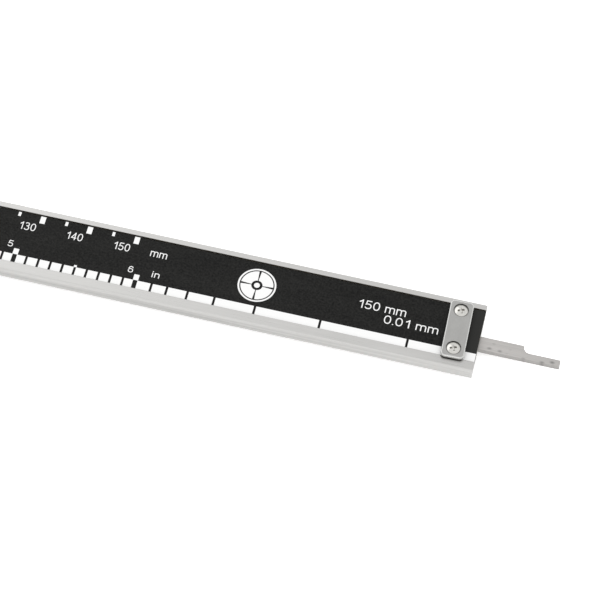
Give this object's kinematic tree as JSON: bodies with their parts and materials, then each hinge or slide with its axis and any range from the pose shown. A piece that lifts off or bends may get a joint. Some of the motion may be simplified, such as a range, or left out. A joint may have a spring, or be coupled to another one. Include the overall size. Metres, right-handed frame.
{
  "type": "digital caliper",
  "caption": "Digital caliper: a steel beam with a printed scale and end stop, outside and inside jaws, a sliding display unit with thumb roller and lock screw, and a stepped depth rod.",
  "frame": {"origin": "the upper back corner of the fixed outside jaw's measuring face, where it meets the beam's lower guide edge and the plane of the beam's back", "axes": "+X along the beam towards the depth rod's tip and out of the fixed jaw's measuring face, +Y across the beam towards the inside jaws, +Z out of the display; the caliper lies on its back"},
  "size_m": [0.2557, 0.073, 0.0122],
  "materials": {
    "beam_steel": "fine-ground, hardened stainless steel",
    "frame_steel": "fine-ground, hardened stainless steel",
    "plate_steel": "brushed sheet",
    "stop_plate_steel": "satin, bead-blasted",
    "screw_steel": "bright nickel-plated",
    "rod_steel": "satin",
    "gib_brass": "bright",
    "spring_steel": "spring-tempered",
    "roller_metal": "satin black with a knurled rim",
    "bush_brass": "turned",
    "knob_metal": "nickel-plated with a knurled rim",
    "strip_board": "glass-filled laminate",
    "label_print": "black film printed in white",
    "housing_plastic": "fine spark-eroded texture",
    "cover_plastic": "fine spark-eroded texture",
    "inner_plastic": "moulded",
    "port_plastic": "smooth moulded",
    "face_print": "satin film",
    "window_clear": "clear acrylic",
    "board_laminate": "solder-masked laminate",
    "board_copper": "gold-flashed copper",
    "chip_resin": "black potting resin",
    "crystal_can": "plated can",
    "capacitor_ceramic": "matt",
    "zebra_rubber": "layered elastomer",
    "lcd_glass": "glass with a grey-green polariser",
    "gasket_foam": "closed-cell foam",
    "battery_can": "bright steel can",
    "contact_metal": "nickel-plated spring",
    "wiper_felt": "felt",
    "button_power": "silky orange",
    "button_zero": "silky blue",
    "button_mode": "silky dark grey",
    "dome_metal": "snap dome"
  },
  "bodies": {
    "beam": {"main_beam": "beam_steel", "scale_strip": "strip_board", "scale_label": "label_print", "end_stop_plate": "stop_plate_steel", "end_stop_screws": "screw_steel"},
    "slider": {"back_plate_screws": "screw_steel", "battery": "battery_can", "battery_contact_negative": "contact_metal", "battery_contact_positive": "contact_metal", "battery_holder": "inner_plastic", "board_capacitors": "capacitor_ceramic", "circuit_board": "board_laminate", "data_contacts": "contact_metal", "depth_rod": "rod_steel", "display_gasket": "gasket_foam", "display_window": "window_clear", "dust_wipers": "wiper_felt", "face_plate": "face_print", "front_housing": "housing_plastic", "gib_set_screws": "screw_steel", "gib_strip": "gib_brass", "housing_screws": "screw_steel", "lcd_carrier": "inner_plastic", "lcd_panel": "lcd_glass", "mode_dome": "dome_metal", "power_dome": "dome_metal", "processor_chip": "chip_resin", "rod_anchor_screws": "screw_steel", "roller_arm": "spring_steel", "roller_arm_screw": "screw_steel", "roller_axle": "screw_steel", "roller_spring": "spring_steel", "sensor_pads": "board_copper", "slider_back_plate": "plate_steel", "slider_frame": "frame_steel", "timing_crystal": "crystal_can", "zebra_connectors": "zebra_rubber", "zero_dome": "dome_metal"},
    "thumb_roller": {"thumb_roller": "roller_metal", "roller_bush": "bush_brass"},
    "lock_pad": {"lock_pad": "gib_brass"},
    "lock_screw": {"lock_screw": "screw_steel", "lock_knob": "knob_metal"},
    "power_button": {"power_button": "button_power"},
    "zero_button": {"zero_button": "button_zero"},
    "mode_button": {"mode_button": "button_mode"},
    "battery_cover": {"battery_cover": "cover_plastic"},
    "data_port_cover": {"data_port_cover": "port_plastic"}
  },
  "joints": [
    {"name": "slider_travel", "type": "slide", "parent": "beam", "child": "slider", "axis": [1, 0, 0], "range_m": [-0.01668, 0.1333]},
    {"name": "thumb_roller_turn", "type": "hinge", "parent": "slider", "child": "thumb_roller", "pos_m": [0.0692, -0.00553, 0.00155], "axis": [0, 0, 1], "continuous": true},
    {"name": "lock_pad_feed", "type": "slide", "parent": "slider", "child": "lock_pad", "axis": [0, -1, 0], "range_m": [0, 0.0002]},
    {"name": "lock_screw_turn", "type": "hinge", "parent": "lock_pad", "child": "lock_screw", "pos_m": [0.0427, 0.0288, 0.0016], "axis": [0, -1, 0], "range_deg": [0, 144]},
    {"name": "power_press", "type": "slide", "parent": "slider", "child": "power_button", "axis": [0, 0, -1], "range_m": [0, 0.0004], "stiffness_N_per_m": 2000, "deforming": ["power_dome"]},
    {"name": "zero_press", "type": "slide", "parent": "slider", "child": "zero_button", "axis": [0, 0, -1], "range_m": [0, 0.0004], "stiffness_N_per_m": 2000, "deforming": ["zero_dome"]},
    {"name": "mode_press", "type": "slide", "parent": "slider", "child": "mode_button", "axis": [0, 0, -1], "range_m": [0, 0.0004], "stiffness_N_per_m": 2000, "deforming": ["mode_dome"]},
    {"name": "battery_cover_slide", "type": "slide", "parent": "slider", "child": "battery_cover", "axis": [1, 0, 0], "range_m": [0, 0.024]},
    {"name": "data_port_cover_pull", "type": "slide", "parent": "slider", "child": "data_port_cover", "axis": [0, 1, 0], "range_m": [0, 0.006]}
  ],
  "couplings": [
    {"joint": "thumb_roller_turn", "follows": "slider_travel", "rad_per_m": 181.82},
    {"joint": "lock_pad_feed", "follows": "lock_screw_turn", "m_per_rad": 0.000079577}
  ]
}
